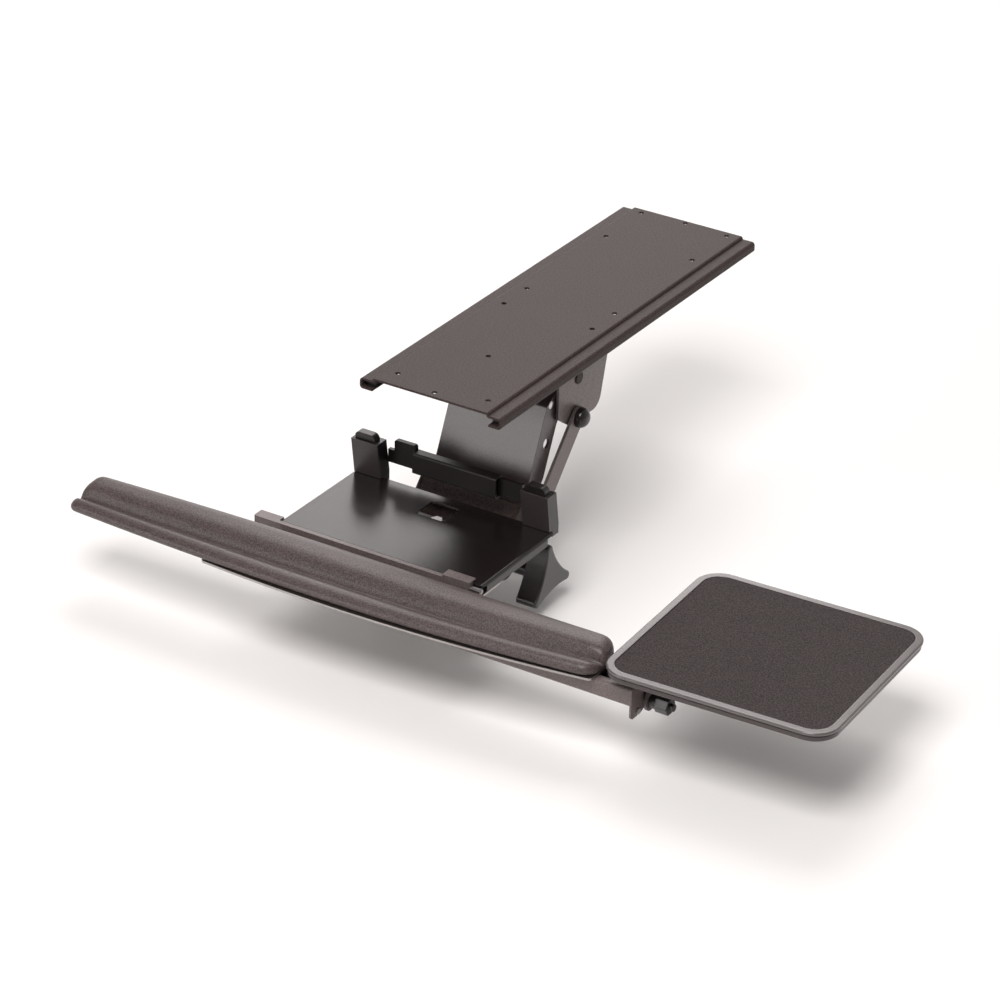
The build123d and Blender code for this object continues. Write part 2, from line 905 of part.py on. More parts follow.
def front_rail():
    """Angle along the platform's front edge, flush with its top, with a wing at the left."""
    flange_top = platform_under
    along = (-rail_left, rail_right)
    flange = block(along, (rail_front_y, rail_back_y), (flange_top - rail_sheet, flange_top))
    wall = block(along, (rail_front_y, rail_front_y + rail_sheet), (plate_top, platform_top))
    ledge_back = platform_front - running_gap
    ledge = block(along, (rail_front_y, ledge_back), (platform_top - rail_sheet, platform_top))
    wing = block(
        (-rail_left, -half_platform - running_gap),
        (rail_front_y, rail_back_y),
        (flange_top - rail_sheet, platform_top),
    )
    end = block(
        (-rail_left, rail_sheet - rail_left),
        (rail_front_y, rail_back_y),
        (plate_top, platform_top),
    )
    rail = flange + wall + ledge + wing + end
    corner = rail.edges().filter_by(Axis.Z).sort_by(Axis.X)[0:2]
    return fillet(corner.sort_by(Axis.Y)[0], rail_sheet)


def front_clip():
    """Small folded clip over the rail's right end."""
    left = rail_right + clip_slot - clip_width
    right = rail_right + clip_slot + clip_sheet
    front = rail_front_y - clip_sheet
    top = block((left, right), (front, front + clip_depth), (clip_top - clip_sheet, clip_top))
    face = block((left, right), (front, rail_front_y), (plate_top, clip_top))
    back = platform_front - running_gap
    end = block((right - clip_sheet, right), (front, back), (plate_top, clip_top))
    clip = top + face + end
    clip = fillet(clip.edges().filter_by(Axis.Z).sort_by(Axis.Y)[0:2], clip_sheet / 2)
    return clip - rod_x(pin_y, pin_z, clip_pin_radius / 2, (left, right))


def clip_pin():
    """Bright turned pin that stands out of the clip's end."""
    right = rail_right + clip_slot + clip_sheet
    shank = rod_x(pin_y, pin_z, clip_pin_radius / 2, (right - clip_sheet, right))
    head = rod_x(pin_y, pin_z, clip_pin_radius, (right, right + clip_pin_length))
    return shank + chamfer(head.faces().sort_by(Axis.X)[-1].edges(), clip_pin_radius / 4)


# Palm rest

palm_back_y = platform_front - palm_back
palm_middle_x = (palm_right - palm_left) / 2
palm_half = (palm_right + palm_left) / 2


def palm_front_y(share):
    """The bowed front edge: share is 0 in the middle and 1 at either end."""
    bow = palm_front_middle - palm_front_ends
    return platform_front - palm_front_middle + bow * share**2


def bow_arc(left, right, forward):
    """Arc along the bowed front edge, moved forward by the given amount."""
    points = []
    for x in (left, (left + right) / 2, right):
        share = (x - palm_middle_x) / palm_half
        points.append((x, palm_front_y(share) - forward))
    return points


def bowed_face(left, right, forward, back_y):
    ends = bow_arc(left, right, forward)
    corners = [ends[-1], (right, back_y), (left, back_y), ends[0]]
    face = make_face(ThreePointArc(*ends).edges() + Polyline(*corners).edges())
    return face, corners


def palm_base_plate():
    """Thin bowed plate with a tongue that runs under the platform."""
    right = palm_right - palm_plate_inset
    back_y = palm_back_y - palm_plate_inset
    face, corners = bowed_face(-plate_left, right, plate_edge, back_y)
    face = rounded_corners(face, corners[1:3], palm_back_corner)
    face = rounded_corners(face, corners[:1] + corners[3:], palm_front_corner)
    tongue_front = palm_front_y(0) + palm_back
    tongue_back = platform_front + tongue_depth
    tongue_points = [
        (-tongue_width / 2, tongue_front),
        (tongue_width / 2, tongue_front),
        (tongue_width / 2, tongue_back),
        (-tongue_width / 2, tongue_back),
    ]
    tongue = make_face(Polyline(*tongue_points, close=True))
    tongue = rounded_corners(tongue, tongue_points[2:], palm_back_corner)
    plate = plan_prism(face + tongue, (plate_bottom, plate_top))
    for x, y in standoff_places:
        plate -= rod_z(x, y, guide_screw_radius, (plate_bottom, plate_top))
    for x in guide_places:
        plate -= rod_z(x, bar_middle_y, guide_screw_radius, (plate_bottom, plate_top))
    return plate


standoff_y = platform_front + standoff_behind
standoff_places = [(side * standoff_spread / 2, standoff_y) for side in (-1, 1)]


def plate_standoffs():
    """Round spacers between the platform and the plate's tongue."""
    posts = []
    for x, y in standoff_places:
        post = rod_z(x, y, standoff_radius, (plate_top, platform_under))
        posts.append(post - rod_z(x, y, guide_screw_radius, (plate_top, platform_under)))
    return Compound(children=posts)


def plate_screws():
    """Pan-head screws up through the tongue into the spacers."""
    screws = []
    for x, y in standoff_places:
        shank = rod_z(x, y, guide_screw_radius, (plate_bottom, platform_under))
        low = plate_bottom - guide_screw_head
        head = rod_z(x, y, guide_screw_head_radius, (low, plate_bottom))
        head = fillet(head.faces().sort_by(Axis.Z)[0].edges(), guide_screw_head / 2)
        screws.append(shank + head)
    return Compound(children=screws)


board_top = plate_top + pad_board_sheet
pad_bottom = board_top + soft_gap / 3


def pad_board():
    """Stiff board under the cushion, drawn in all round from the cushion's edge."""
    face, corners = bowed_face(
        pad_board_inset - palm_left,
        palm_right - pad_board_inset,
        -pad_board_inset,
        palm_back_y - pad_board_inset,
    )
    return plan_prism(rounded_corners(face, corners, palm_back_corner), (plate_top, board_top))


def pad_section(share, height, pull):
    """One cross-section of the cushion: a flat underside closed by six arcs."""
    front = palm_front_y(share) + pull * palm_pull
    back = palm_back_y - pull * palm_pull
    depth = back - front
    points = []
    for across, up in pad_point_shares:
        points.append((front + depth * across, pad_bottom + palm_crown * height * up))
    arcs = []
    for start, via, end in zip(points[:-2:2], points[1::2], points[2::2]):
        arcs.append(ThreePointArc(start, via, end))
    return make_face(arcs + [Line(points[-1], points[0])])


def palm_rest_pad():
    """Crowned cushion, drawn in at its ends, with a groove behind a small front roll."""
    faces = []
    for share, height, pull in pad_station_shares:
        middle = Plane.YZ.offset(palm_middle_x + palm_half * share)
        faces.append(middle * pad_section(share, height, pull))
    return loft(faces, ruled=True)


# Back stop

lean_share = math.tan(math.radians(tower_lean))
tower_front = platform_rear - tower_ahead
tower_back = tower_front + tower_depth
foot_top = platform_under - running_gap
foot_bottom = foot_top - tower_jaw_thickness
seat_z = platform_top + running_gap


def leaning(y, height):
    """A point of the side view, moved forward by the lean at its height."""
    return (y - height * lean_share, platform_top + height)


def tower(centre_x):
    """Upright stop whose foot clips over the platform's plain rear edge."""
    block_front = tower_front + tower_pad
    points = [
        (block_front, seat_z),
        leaning(block_front, tower_pad_height),
        leaning(tower_back, tower_pad_height),
        (tower_back, platform_top + tower_jaw_thickness),
        (tower_back, foot_bottom),
        (platform_rear + running_gap, foot_bottom),
        (platform_rear + running_gap, seat_z),
    ]
    half = tower_width / 2
    body = side_prism(make_face(Polyline(*points, close=True)), (centre_x - half, centre_x + half))
    jaw = block(
        (centre_x - tower_jaw_width / 2, centre_x + tower_jaw_width / 2),
        (platform_rear - tower_jaw, platform_rear + running_gap),
        (foot_bottom, foot_top),
    )
    post_points = [
        leaning(block_front, tower_pad_height / 2),
        leaning(block_front, tower_height),
        leaning(block_front + tower_post, tower_height),
        leaning(block_front + tower_post, tower_pad_height / 2),
    ]
    post = side_prism(
        make_face(Polyline(*post_points, close=True)),
        (centre_x - tower_post_width / 2, centre_x + tower_post_width / 2),
    )
    tops = post.faces().sort_by(Axis.Z)[-1].edges().filter_by(Axis.Y)
    post = fillet(tops, tower_corner)
    return body + jaw + post


def tower_pad_piece(centre_x):
    """Smooth face plate that meets the keyboard's back edge."""
    points = [
        leaning(tower_front, 2 * running_gap),
        leaning(tower_front, tower_pad_height),
        leaning(tower_front + tower_pad, tower_pad_height),
        leaning(tower_front + tower_pad, 2 * running_gap),
    ]
    half = tower_width / 2
    pad = side_prism(make_face(Polyline(*points, close=True)), (centre_x - half, centre_x + half))
    front = pad.edges().filter_by(lambda edge: edge.center().Y < tower_front - lean_share)
    return chamfer(front.filter_by(Axis.X).sort_by(Axis.Z)[-1], tower_pad / 3)


strip_front = platform_rear + strip_behind
strip_top = platform_top + tower_height - strip_drop
stop_arm_back = strip_front + strip_depth - running_gap
stop_arm_front = stop_arm_back - stop_arm_sheet


def stop_arm(x_start, x_end, clear):
    """Flat arm with a low neck beside its tower, reaching into the strip."""
    low = strip_top - strip_height + strip_sheet + clear
    high = strip_top - strip_sheet - clear
    inward = math.copysign(stop_neck, x_end - x_start)
    neck = x_start + inward
    thick = (stop_arm_front, stop_arm_back)
    body = block(sorted((neck, x_end)), thick, (low, high))
    return body + block(sorted((x_start, neck)), thick, (low, high - stop_neck_height))


def stop_strip():
    """C-shaped cover strip; the left arm is fixed in it and the right arm slides."""
    back = strip_front + strip_depth
    mid = strip_sheet / 2
    section = folded(
        [
            (back, strip_top - mid),
            (strip_front + mid, strip_top - mid),
            (strip_front + mid, strip_top - strip_height + mid),
            (back, strip_top - strip_height + mid),
        ],
        strip_sheet,
        strip_sheet / 2,
    )
    return side_prism(section, (-strip_left_end, strip_right_end))


# Mouse bar

bar_front_y = platform_front - bar_front
bar_back_y = bar_front_y + bar_depth
bar_middle_y = bar_front_y + bar_depth / 2
bar_top = plate_bottom - 2 * running_gap
bar_bottom = bar_top - bar_height
mouse_axis_y = bar_front_y + mouse_axis_behind
mouse_axis_z = bar_top - mouse_axis_drop
stop_screw_y = mouse_axis_y - stop_screw_ahead
stop_screw_z = mouse_axis_z - stop_screw_drop


def mouse_bar():
    """C channel, open at the top, with an ear turned back from its right end."""
    mid = bar_sheet / 2
    section = folded(
        [
            (bar_front_y + bar_lip, bar_top - mid),
            (bar_front_y + mid, bar_top - mid),
            (bar_front_y + mid, bar_bottom + mid),
            (bar_back_y - mid, bar_bottom + mid),
            (bar_back_y - mid, bar_top - mid),
            (bar_back_y - bar_lip, bar_top - mid),
        ],
        bar_sheet,
        bar_bend,
    )
    body = side_prism(section, (-bar_left, bar_right - bar_sheet))
    low = bar_bottom - ear_drop
    points = [
        (bar_front_y, bar_top),
        (bar_front_y, low),
        (bar_front_y + ear_tip, low),
        (bar_front_y + ear_depth, bar_bottom - ear_rear),
        (bar_front_y + ear_depth, bar_top),
    ]
    ear = make_face(Polyline(*points, close=True))
    ear = rounded_corners(ear, points[:1] + points[-1:], 2 * bar_bend)
    ear = rounded_corners(ear, points[1:4], ear_tip_radius)
    body += side_prism(ear, (bar_right - bar_sheet, bar_right))
    through = (bar_right - overrun, bar_right + overrun)
    body -= rod_x(mouse_axis_y, mouse_axis_z, mouse_bolt_radius, through)
    return body - rod_x(stop_screw_y, stop_screw_z, stop_screw_radius / 2, through)


def bar_guides():
    """T-shaped nylon blocks inside the bar, hung from the palm rest's plate."""
    clear = 2 * running_gap
    slot = bar_depth / 2 - bar_lip - clear
    wide = bar_depth / 2 - bar_sheet - clear
    roof = bar_top - bar_sheet - clear
    floor = roof - guide_body
    guides = []
    for x in guide_places:
        span = (x - guide_length / 2, x + guide_length / 2)
        neck = block(span, (bar_middle_y - slot, bar_middle_y + slot), (floor, plate_bottom))
        body = block(span, (bar_middle_y - wide, bar_middle_y + wide), (floor, roof))
        body = chamfer(body.edges().filter_by(Axis.X), bar_bend)
        bore = rod_z(x, bar_middle_y, guide_screw_radius, (floor, plate_bottom))
        sink = rod_z(x, bar_middle_y, guide_screw_head_radius, (floor, floor + guide_screw_head))
        guides.append(neck + body - bore - sink)
    return Compound(children=guides)


def guide_screws():
    """Screws from inside the bar, up through guides and plate."""
    base = bar_top - bar_sheet - 2 * running_gap - guide_body
    seat = base + guide_screw_head
    screws = []
    for x in guide_places:
        shank = rod_z(x, bar_middle_y, guide_screw_radius, (seat, plate_top))
        head = rod_z(x, bar_middle_y, guide_screw_head_radius, (base, seat))
        screws.append(shank + head)
    return Compound(children=screws)


def ear_stop_screw():
    """Bright hexagon screw through the ear, in front of the tilt bolt."""
    ear = (bar_right - bar_sheet, bar_right)
    shank = rod_x(stop_screw_y, stop_screw_z, stop_screw_radius / 2, ear)
    six = Pos(stop_screw_y, stop_screw_z) * RegularPolygon(stop_screw_radius, 6)
    return shank + side_prism(six, (bar_right, bar_right + stop_screw_head))


def mouse_tilt_bolt():
    """Stud from the ear that the bracket turns on."""
    end = knob_start + mouse_knob_thickness / 2
    return rod_x(mouse_axis_y, mouse_axis_z, mouse_bolt_radius, (bar_right - bar_sheet, end))


def mouse_spacer():
    """Washer between the ear and the turning bracket."""
    across = (bar_right, arm_left_x - running_gap / 2)
    ring = rod_x(mouse_axis_y, mouse_axis_z, mouse_spacer_radius, across)
    return ring - rod_x(mouse_axis_y, mouse_axis_z, mouse_bolt_radius, across)


# Mouse tray bracket

tray_top = platform_top + tray_top_above
tray_bottom = tray_top - tray_bead_height - tray_groove - tray_base_height
post_x = bar_right + swivel_post_reach
post_y = mouse_axis_y + swivel_post_behind
arm_left_x = bar_right + mouse_spacing
arm_right_x = arm_left_x + mouse_bracket_sheet
collar_start = arm_right_x + running_gap / 2
knob_start = collar_start + mouse_collar
shelf_top = tray_bottom - swivel_boss
shelf_bottom = shelf_top - mouse_bracket_sheet


def mouse_bracket():
    """Angle that turns on the ear's bolt and carries the tray's swivel post."""
    mid = mouse_bracket_sheet / 2
    wall = arm_left_x + mid
    reach = post_x + swivel_post_radius
    half = mouse_bracket_depth / 2
    low = mouse_axis_z - mouse_bracket_boss
    section = folded(
        [(wall, low), (wall, shelf_top - mid), (reach, shelf_top - mid)],
        mouse_bracket_sheet,
        mouse_bracket_bend,
    )
    body = end_prism(section, (mouse_axis_y - mouse_bracket_boss, post_y + half))
    centre = (mouse_axis_y, mouse_axis_z)
    front = (post_y - half, shelf_top)
    rear = (post_y + half, shelf_top)
    rear_low = (post_y + half, shelf_bottom - mouse_bracket_bend)
    front_low = (post_y - half, shelf_bottom - mouse_bracket_bend)
    points = [
        front,
        rear,
        rear_low,
        touching_point(rear_low, centre, mouse_bracket_boss, -1),
        centre,
        touching_point(front_low, centre, mouse_bracket_boss, 1),
        front_low,
    ]
    side = make_face(Polyline(*points, close=True))
    side += Pos(*centre) * Circle(mouse_bracket_boss)
    body &= side_prism(side, (arm_left_x, reach))
    bore = mouse_bolt_radius + pin_gap
    body -= rod_x(*centre, bore, (arm_left_x, arm_right_x))
    corners = body.edges().filter_by(Axis.Z).sort_by(Axis.X)[-2:]
    body = fillet(corners, swivel_post_radius / 2)
    return body - rod_z(post_x, post_y, swivel_pin_radius, (shelf_bottom, shelf_top))


def swivel_post():
    """Round boss on the bracket, with a pin that the tray turns on."""
    pin_top = tray_bottom + tray_plate / 2
    boss = rod_z(post_x, post_y, swivel_post_radius, (shelf_top, tray_bottom - running_gap / 2))
    pin = rod_z(post_x, post_y, swivel_pin_radius, (shelf_bottom, pin_top))
    cap = rod_z(post_x, post_y, 2 * swivel_pin_radius, (shelf_bottom - swivel_cap, shelf_bottom))
    return boss + pin + cap


def mouse_knob():
    """Six-sided knob with a collar and a round nose, on the tilt bolt."""
    centre = (mouse_axis_y, mouse_axis_z)
    end = knob_start + mouse_knob_thickness
    body = side_prism(Pos(*centre) * RegularPolygon(mouse_knob_radius, 6), (knob_start, end))
    body = fillet(body.edges().filter_by(Axis.X), mouse_bracket_bend / 2)
    nose = rod_x(*centre, mouse_knob_stub, (end, end + mouse_knob_stub_length))
    nose = fillet(nose.faces().sort_by(Axis.X)[-1].edges(), mouse_bracket_bend / 2)
    collar = rod_x(*centre, mouse_spacer_radius, (collar_start, knob_start))
    bore = mouse_bolt_radius + pin_gap
    return body + nose + collar - rod_x(*centre, bore, (collar_start, end - overrun))


tray_centre_y = platform_front + tray_centre_ahead
tray_place = Pos(tray_centre_x, tray_centre_y, 0) * Rot(0, 0, tray_yaw)


def tray_outline(inset):
    return rounded_rectangle(tray_width - 2 * inset, tray_depth - 2 * inset, tray_corner - inset)


def mouse_tray_base():
    """Lower moulded pan: a flat floor with a raised wall."""
    wall = tray_base_inset + tray_bead_width
    top = tray_bottom + tray_base_height
    body = plan_prism(tray_outline(tray_base_inset), (tray_bottom, top))
    body = fillet(body.faces().sort_by(Axis.Z)[0].edges(), tray_bead_round)
    floor = tray_bottom + tray_plate
    body -= plan_prism(tray_outline(wall), (floor, top + overrun))
    body = tray_place * body
    bore = swivel_pin_radius + pin_gap
    depth = tray_bottom + tray_plate * swivel_bore_share
    return body - rod_z(post_x, post_y, bore, (tray_bottom, depth))


def mouse_tray_rim():
    """Upper moulding: rounded bead on a narrower neck, carrying the pad's plate."""
    low = tray_bottom + tray_base_height
    neck_top = low + tray_groove
    bead = plan_prism(tray_outline(0), (neck_top, tray_top))
    bead = fillet(bead.faces().sort_by(Axis.Z)[-1].edges(), tray_bead_round)
    bead = fillet(bead.faces().sort_by(Axis.Z)[0].edges(), tray_bead_round)
    neck = plan_prism(tray_outline(tray_base_inset + tray_groove), (low, neck_top))
    pocket_floor = tray_top - tray_pad_thickness
    pocket = plan_prism(tray_outline(tray_bead_width), (pocket_floor, tray_top + overrun))
    return tray_place * (bead + neck - pocket)


def mouse_pad():
    """Thin foam-backed cloth pad in the rim's pocket."""
    height = (tray_top - tray_pad_thickness, tray_top - soft_gap)
    pad = plan_prism(tray_outline(tray_bead_width + soft_gap), height)
    return tray_place * fillet(pad.faces().sort_by(Axis.Z)[-1].edges(), tray_groove)


def build():
    place(track_rail(), "track_rail")
    place(track_stops(), "track_stops")
    place(carriage_plate(), "carriage_plate")
    place(glide_shoes(), "glide_shoes")
    place(swivel_washer(), "swivel_washer")
    place(swivel_rivet(), "swivel_rivet")
    place(swivel_bracket(), "swivel_bracket")
    place(headed_rod(pivot_y, pivot_z), "arm_pivot_rod")
    place(link_pin_set(link_y, link_z), "upper_link_pins")
    place(link_spacer_set(link_y, link_z), "upper_link_spacers")
    place(dome_cap_set(link_y, link_z), "upper_dome_caps")
    place(arm_plate(), "arm_plate")
    place(arm_tube(), "arm_tube")
    gap = (arm_width / 2, cheek_inner - running_gap / 2)
    upper = washer_pair(pivot_y, pivot_z, arm_tube_radius, rod_radius + pin_gap, gap)
    place(upper, "upper_arm_washers")
    lower = washer_pair(lower_y, lower_z, arm_tube_radius, rod_radius + pin_gap, gap)
    place(lower, "lower_arm_washers")
    link = side_link()
    place(link, "right_link")
    place(mirrored(link), "left_link")
    place(tilt_head(), "tilt_head")
    place(headed_rod(lower_y, lower_z), "lower_pivot_rod")
    place(link_pin_set(open_y, open_z), "lower_link_pins")
    place(link_spacer_set(open_y, open_z), "lower_link_spacers")
    place(dome_cap_set(open_y, open_z), "lower_dome_caps")
    place(tilt_bolt(), "tilt_bolt")
    friction = (ear_place + running_gap / 2, cheek_inner)
    discs = washer_pair(tilt_y, tilt_z, friction_washer_radius, tilt_bolt_radius, friction)
    place(discs, "friction_discs")
    place(tilt_knob(), "tilt_knob")
    place(platform_plate(), "platform_plate")
    ear = platform_ear()
    place(ear, "right_ear")
    place(mirrored(ear), "left_ear")
    place(cross_strap(), "cross_strap")
    place(strap_bolt(), "strap_bolt")
    place(front_rail(), "front_rail")
    place(front_clip(), "front_clip")
    place(clip_pin(), "clip_pin")
    place(palm_base_plate(), "palm_base_plate")
    place(plate_standoffs(), "plate_standoffs")
    place(plate_screws(), "plate_screws")
    place(pad_board(), "pad_board")
    place(palm_rest_pad(), "palm_rest_pad")
    place(tower(-tower_left_place), "left_tower")
    place(tower(tower_right_place), "right_tower")
    place(tower_pad_piece(-tower_left_place), "left_tower_pad")
    place(tower_pad_piece(tower_right_place), "right_tower_pad")
    half_tower = tower_width / 2
    place(stop_arm(half_tower - tower_left_place, -left_arm_end, 0), "left_stop_arm")
    inner = tower_right_place - half_tower
    place(stop_arm(inner, right_arm_end, running_gap), "right_stop_arm")
    place(stop_strip(), "stop_strip")
    place(mouse_bar(), "mouse_bar")
    place(bar_guides(), "bar_guides")
    place(guide_screws(), "guide_screws")
    place(ear_stop_screw(), "ear_stop_screw")
    place(mouse_tilt_bolt(), "mouse_tilt_bolt")
    place(mouse_spacer(), "mouse_spacer")
    place(mouse_bracket(), "mouse_bracket")
    place(swivel_post(), "swivel_post")
    place(mouse_knob(), "mouse_knob")
    place(mouse_tray_base(), "mouse_tray_base")
    place(mouse_tray_rim(), "mouse_tray_rim")
    place(mouse_pad(), "mouse_pad")


build()
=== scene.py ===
"""Under-desk keyboard tray in a bright studio: looks, padded palm rest, floor, light and camera."""

import math

import bpy
import numpy as np
from mathutils import Matrix


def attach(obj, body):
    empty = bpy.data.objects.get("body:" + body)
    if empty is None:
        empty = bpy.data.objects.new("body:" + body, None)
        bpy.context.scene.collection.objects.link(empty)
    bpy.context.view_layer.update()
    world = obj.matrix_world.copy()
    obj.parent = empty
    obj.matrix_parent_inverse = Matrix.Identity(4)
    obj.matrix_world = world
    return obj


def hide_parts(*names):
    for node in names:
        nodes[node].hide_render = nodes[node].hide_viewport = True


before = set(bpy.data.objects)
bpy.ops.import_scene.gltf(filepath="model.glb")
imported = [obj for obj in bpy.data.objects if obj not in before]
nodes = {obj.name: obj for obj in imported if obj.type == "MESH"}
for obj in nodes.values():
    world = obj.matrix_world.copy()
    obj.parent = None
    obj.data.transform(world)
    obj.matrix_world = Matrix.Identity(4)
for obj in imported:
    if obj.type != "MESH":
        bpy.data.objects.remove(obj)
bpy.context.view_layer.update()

# Track: a rail rolled from 2 mm sheet with a channel along each side, screwed under the desk.
# It has a warm dark grey powder coat, fine and slightly rough to the touch.
# Its four end stops are moulded in near-black plastic and pressed into the channels.
GRAIN_DETAIL, GRAIN_HEIGHT, EDGE_SAMPLES = 3.0, 0.0004, 4
PATCH_SCALE, PATCH_DETAIL = 14.0, 2.0
SPECK_LOW, SPECK_HIGH = 0.36, 0.64

# The grain of every finish is one group: a bumped normal with eased edges, slow patches
# between 0 and 1, and fine specks between 0 and 1.
grain = bpy.data.node_groups.new("surface_grain", "ShaderNodeTree")
for socket, value in (("Scale", 1200.0), ("Strength", 0.15), ("Edge", 0.0004)):
    made = grain.interface.new_socket(socket, in_out="INPUT", socket_type="NodeSocketFloat")
    made.default_value = value
for socket, kind in (("Normal", "Vector"), ("Patches", "Float"), ("Speck", "Float")):
    grain.interface.new_socket(socket, in_out="OUTPUT", socket_type="NodeSocket" + kind)
settings = grain.nodes.new("NodeGroupInput")
results = grain.nodes.new("NodeGroupOutput")
where = grain.nodes.new("ShaderNodeTexCoord")
fine = grain.nodes.new("ShaderNodeTexNoise")
fine.inputs["Detail"].default_value = GRAIN_DETAIL
slow = grain.nodes.new("ShaderNodeTexNoise")
slow.inputs["Scale"].default_value = PATCH_SCALE
slow.inputs["Detail"].default_value = PATCH_DETAIL
ease = grain.nodes.new("ShaderNodeBevel")
ease.samples = EDGE_SAMPLES
bump = grain.nodes.new("ShaderNodeBump")
bump.inputs["Distance"].default_value = GRAIN_HEIGHT
spread = grain.nodes.new("ShaderNodeMapRange")
spread.inputs["From Min"].default_value = SPECK_LOW
spread.inputs["From Max"].default_value = SPECK_HIGH
for start, start_socket, end, end_socket in (
    (where, "Object", fine, "Vector"),
    (where, "Object", slow, "Vector"),
    (settings, "Scale", fine, "Scale"),
    (settings, "Strength", bump, "Strength"),
    (settings, "Edge", ease, "Radius"),
    (ease, "Normal", bump, "Normal"),
    (fine, "Fac", bump, "Height"),
    (fine, "Fac", spread, "Value"),
    (bump, "Normal", results, "Normal"),
    (slow, "Fac", results, "Patches"),
    (spread, "Result", results, "Speck"),
):
    grain.links.new(start.outputs[start_socket], end.inputs[end_socket])


def finish_for(name, dark, light, rough, scale, strength, edge, metal=0.0, speck=0.3, sheen=0.0,
               gloss=0.5):
    """Grained surface between two colours: speck is the share of fine specks in the mix."""
    made = bpy.data.materials.new(name)
    made.use_nodes = True
    tree = made.node_tree
    shader = tree.nodes["Principled BSDF"]
    group = tree.nodes.new("ShaderNodeGroup")
    group.node_tree = grain
    group.inputs["Scale"].default_value = scale
    group.inputs["Strength"].default_value = strength
    group.inputs["Edge"].default_value = edge
    colours = tree.nodes.new("ShaderNodeMix")
    colours.data_type = "RGBA"
    colours.inputs["A"].default_value = (*dark, 1.0)
    colours.inputs["B"].default_value = (*light, 1.0)
    masks = tree.nodes.new("ShaderNodeMix")
    masks.inputs["Factor"].default_value = speck
    tree.links.new(group.outputs["Patches"], masks.inputs["A"])
    tree.links.new(group.outputs["Speck"], masks.inputs["B"])
    tree.links.new(masks.outputs["Result"], colours.inputs["Factor"])
    tree.links.new(colours.outputs["Result"], shader.inputs["Base Color"])
    tree.links.new(group.outputs["Normal"], shader.inputs["Normal"])
    shader.inputs["Roughness"].default_value = rough
    shader.inputs["Metallic"].default_value = metal
    shader.inputs["Sheen Weight"].default_value = sheen
    shader.inputs["Specular IOR Level"].default_value = gloss
    return made


def dress(material, *names):
    """Gives CAD nodes this material in every slot."""
    for name in names:
        slots = nodes[name].data.materials
        slots.clear()
        slots.append(material)


coat_steel = finish_for(
    "powder_coat", dark=(0.030, 0.021, 0.020), light=(0.066, 0.050, 0.048),
    rough=0.38, scale=700.0, strength=0.34, edge=0.0006, speck=0.8, gloss=0.06,
)
dark_plastic = finish_for(
    "dark_plastic", dark=(0.008, 0.006, 0.006), light=(0.014, 0.011, 0.011),
    rough=0.34, scale=1500.0, strength=0.08, edge=0.0006,
)
dress(coat_steel, "track_rail")
dress(dark_plastic, "track_stops")

# Carriage: a flat coated plate that runs in the track's channels on four nylon shoes.
# A nylon disc and one headed bright rivet hold the bracket below it, free to swivel.
nylon = finish_for(
    "nylon", dark=(0.010, 0.008, 0.008), light=(0.016, 0.013, 0.013),
    rough=0.45, scale=900.0, strength=0.06, edge=0.0004,
)
bright_steel = finish_for(
    "bright_steel", dark=(0.52, 0.51, 0.50), light=(0.64, 0.63, 0.62),
    rough=0.26, scale=700.0, strength=0.05, edge=0.0003, metal=1.0,
)
dress(coat_steel, "carriage_plate")
dress(nylon, "glide_shoes", "swivel_washer")
dress(bright_steel, "swivel_rivet")

# Swivelling bracket: sheet steel folded down into two cheeks, in a lighter powder coat.
# The headed pivot rod goes through both cheeks, and smooth black domes cap the link pins.
frame_coat = finish_for(
    "frame_coat", dark=(0.094, 0.074, 0.072), light=(0.180, 0.150, 0.146),
    rough=0.34, scale=800.0, strength=0.28, edge=0.0006, speck=0.7, gloss=0.4,
)
dome_black = finish_for(
    "dome_black", dark=(0.012, 0.009, 0.009), light=(0.018, 0.014, 0.014),
    rough=0.22, scale=600.0, strength=0.02, edge=0.0004,
)
dress(frame_coat, "swivel_bracket")
dress(coat_steel, "arm_pivot_rod")
dress(bright_steel, "upper_link_pins")
dress(nylon, "upper_link_spacers", "upper_arm_washers")
dress(dome_black, "upper_dome_caps")

# Lift arm: a wide channel folded from one sheet, with its lower end curled round a rod and
# a tube welded through both flanges at the top. Its coat is glossier than the track's, and
# two flat coated links beside it keep the tilt head level.
arm_coat = finish_for(
    "arm_coat", dark=(0.030, 0.020, 0.019), light=(0.066, 0.049, 0.047),
    rough=0.30, scale=800.0, strength=0.22, edge=0.0008, speck=0.6, gloss=0.8,
)
dress(arm_coat, "arm_plate", "arm_tube")
dress(frame_coat, "right_link", "left_link")

# Shoulder rivets: a low, bright steel head outside each of the arm's flanges.
# They are formed cold through the flanges, near the upper pivot, and turn with the arm.
RIVET_RADIUS, RIVET_HEAD, RIVET_TIP = 0.0040, 0.0011, 0.05
RIVET_RINGS, RIVET_ROUND = 9, 32
RIVET_Y, RIVET_Z = -0.1017, -0.0460
arm_side = max(corner[0] for corner in nodes["arm_plate"].bound_box)


def rivet_head(sign):
    """Dome with u from a quarter turn to RIVET_TIP: height H cos(u), ring radius R sin(u)."""
    turn = np.linspace(math.pi / 2, RIVET_TIP, RIVET_RINGS)[:, None]
    angle = sign * np.linspace(0, 2 * math.pi, RIVET_ROUND, endpoint=False)[None, :]
    radius = RIVET_RADIUS * np.sin(turn)
    height = np.repeat(RIVET_HEAD * np.cos(turn), RIVET_ROUND, axis=1)
    return np.stack([
        sign * (arm_side + height),
        RIVET_Y + radius * np.cos(angle),
        RIVET_Z + radius * np.sin(angle),
    ], axis=-1)


